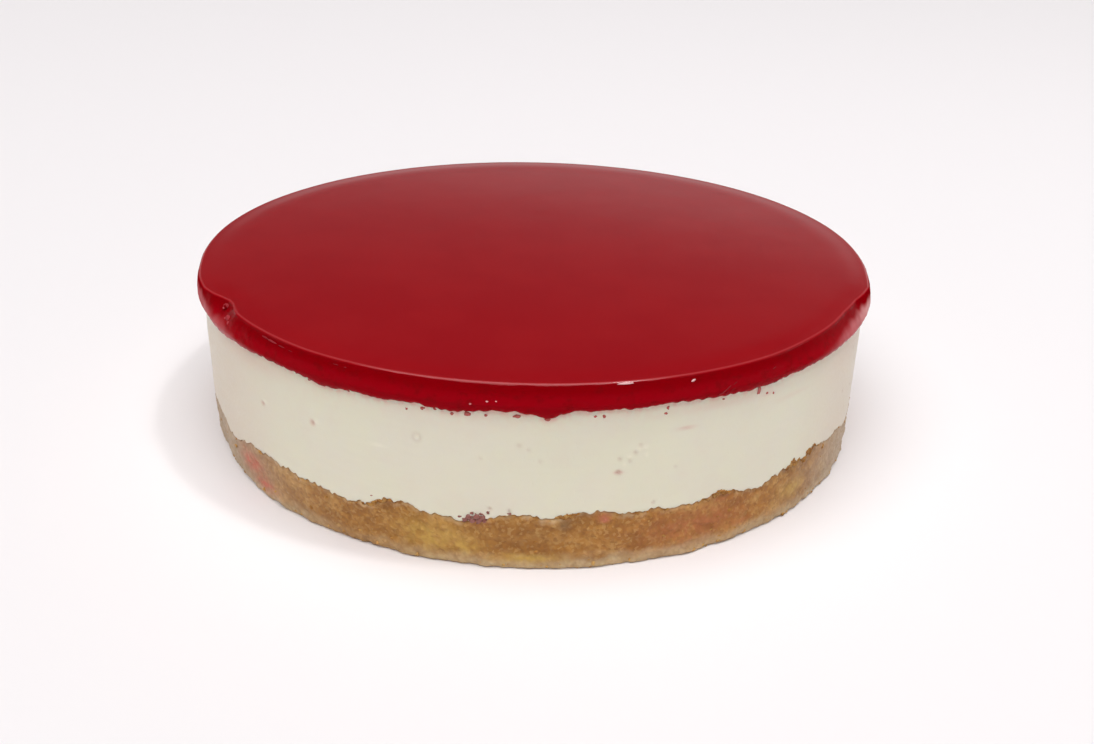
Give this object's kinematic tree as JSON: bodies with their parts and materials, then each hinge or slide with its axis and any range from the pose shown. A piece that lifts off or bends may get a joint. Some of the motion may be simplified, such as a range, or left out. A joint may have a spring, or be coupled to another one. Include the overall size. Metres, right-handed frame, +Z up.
{
  "type": "yogurt cake",
  "caption": "Round no-bake yogurt cake: a pressed biscuit base, a thick layer of yogurt mousse and a glossy red fruit jelly that flares over the mousse in an uneven skirt.",
  "frame": {"origin": "centre of the flat underside, on the surface that the cake stands on", "axes": "+Z up through the layers; the side that faces the viewer is -Y"},
  "size_m": [0.2032, 0.2032, 0.0519],
  "materials": {
    "biscuit": "dry pressed biscuit crumbs, rough and craggy",
    "mousse": "smooth set mousse, soft satin with a few pinholes",
    "jelly": "wet, glossy deep red fruit jelly"
  },
  "bodies": {
    "root": {"biscuit_base": "biscuit", "yogurt_mousse": "mousse", "red_jelly": "jelly"}
  },
  "joints": []
}
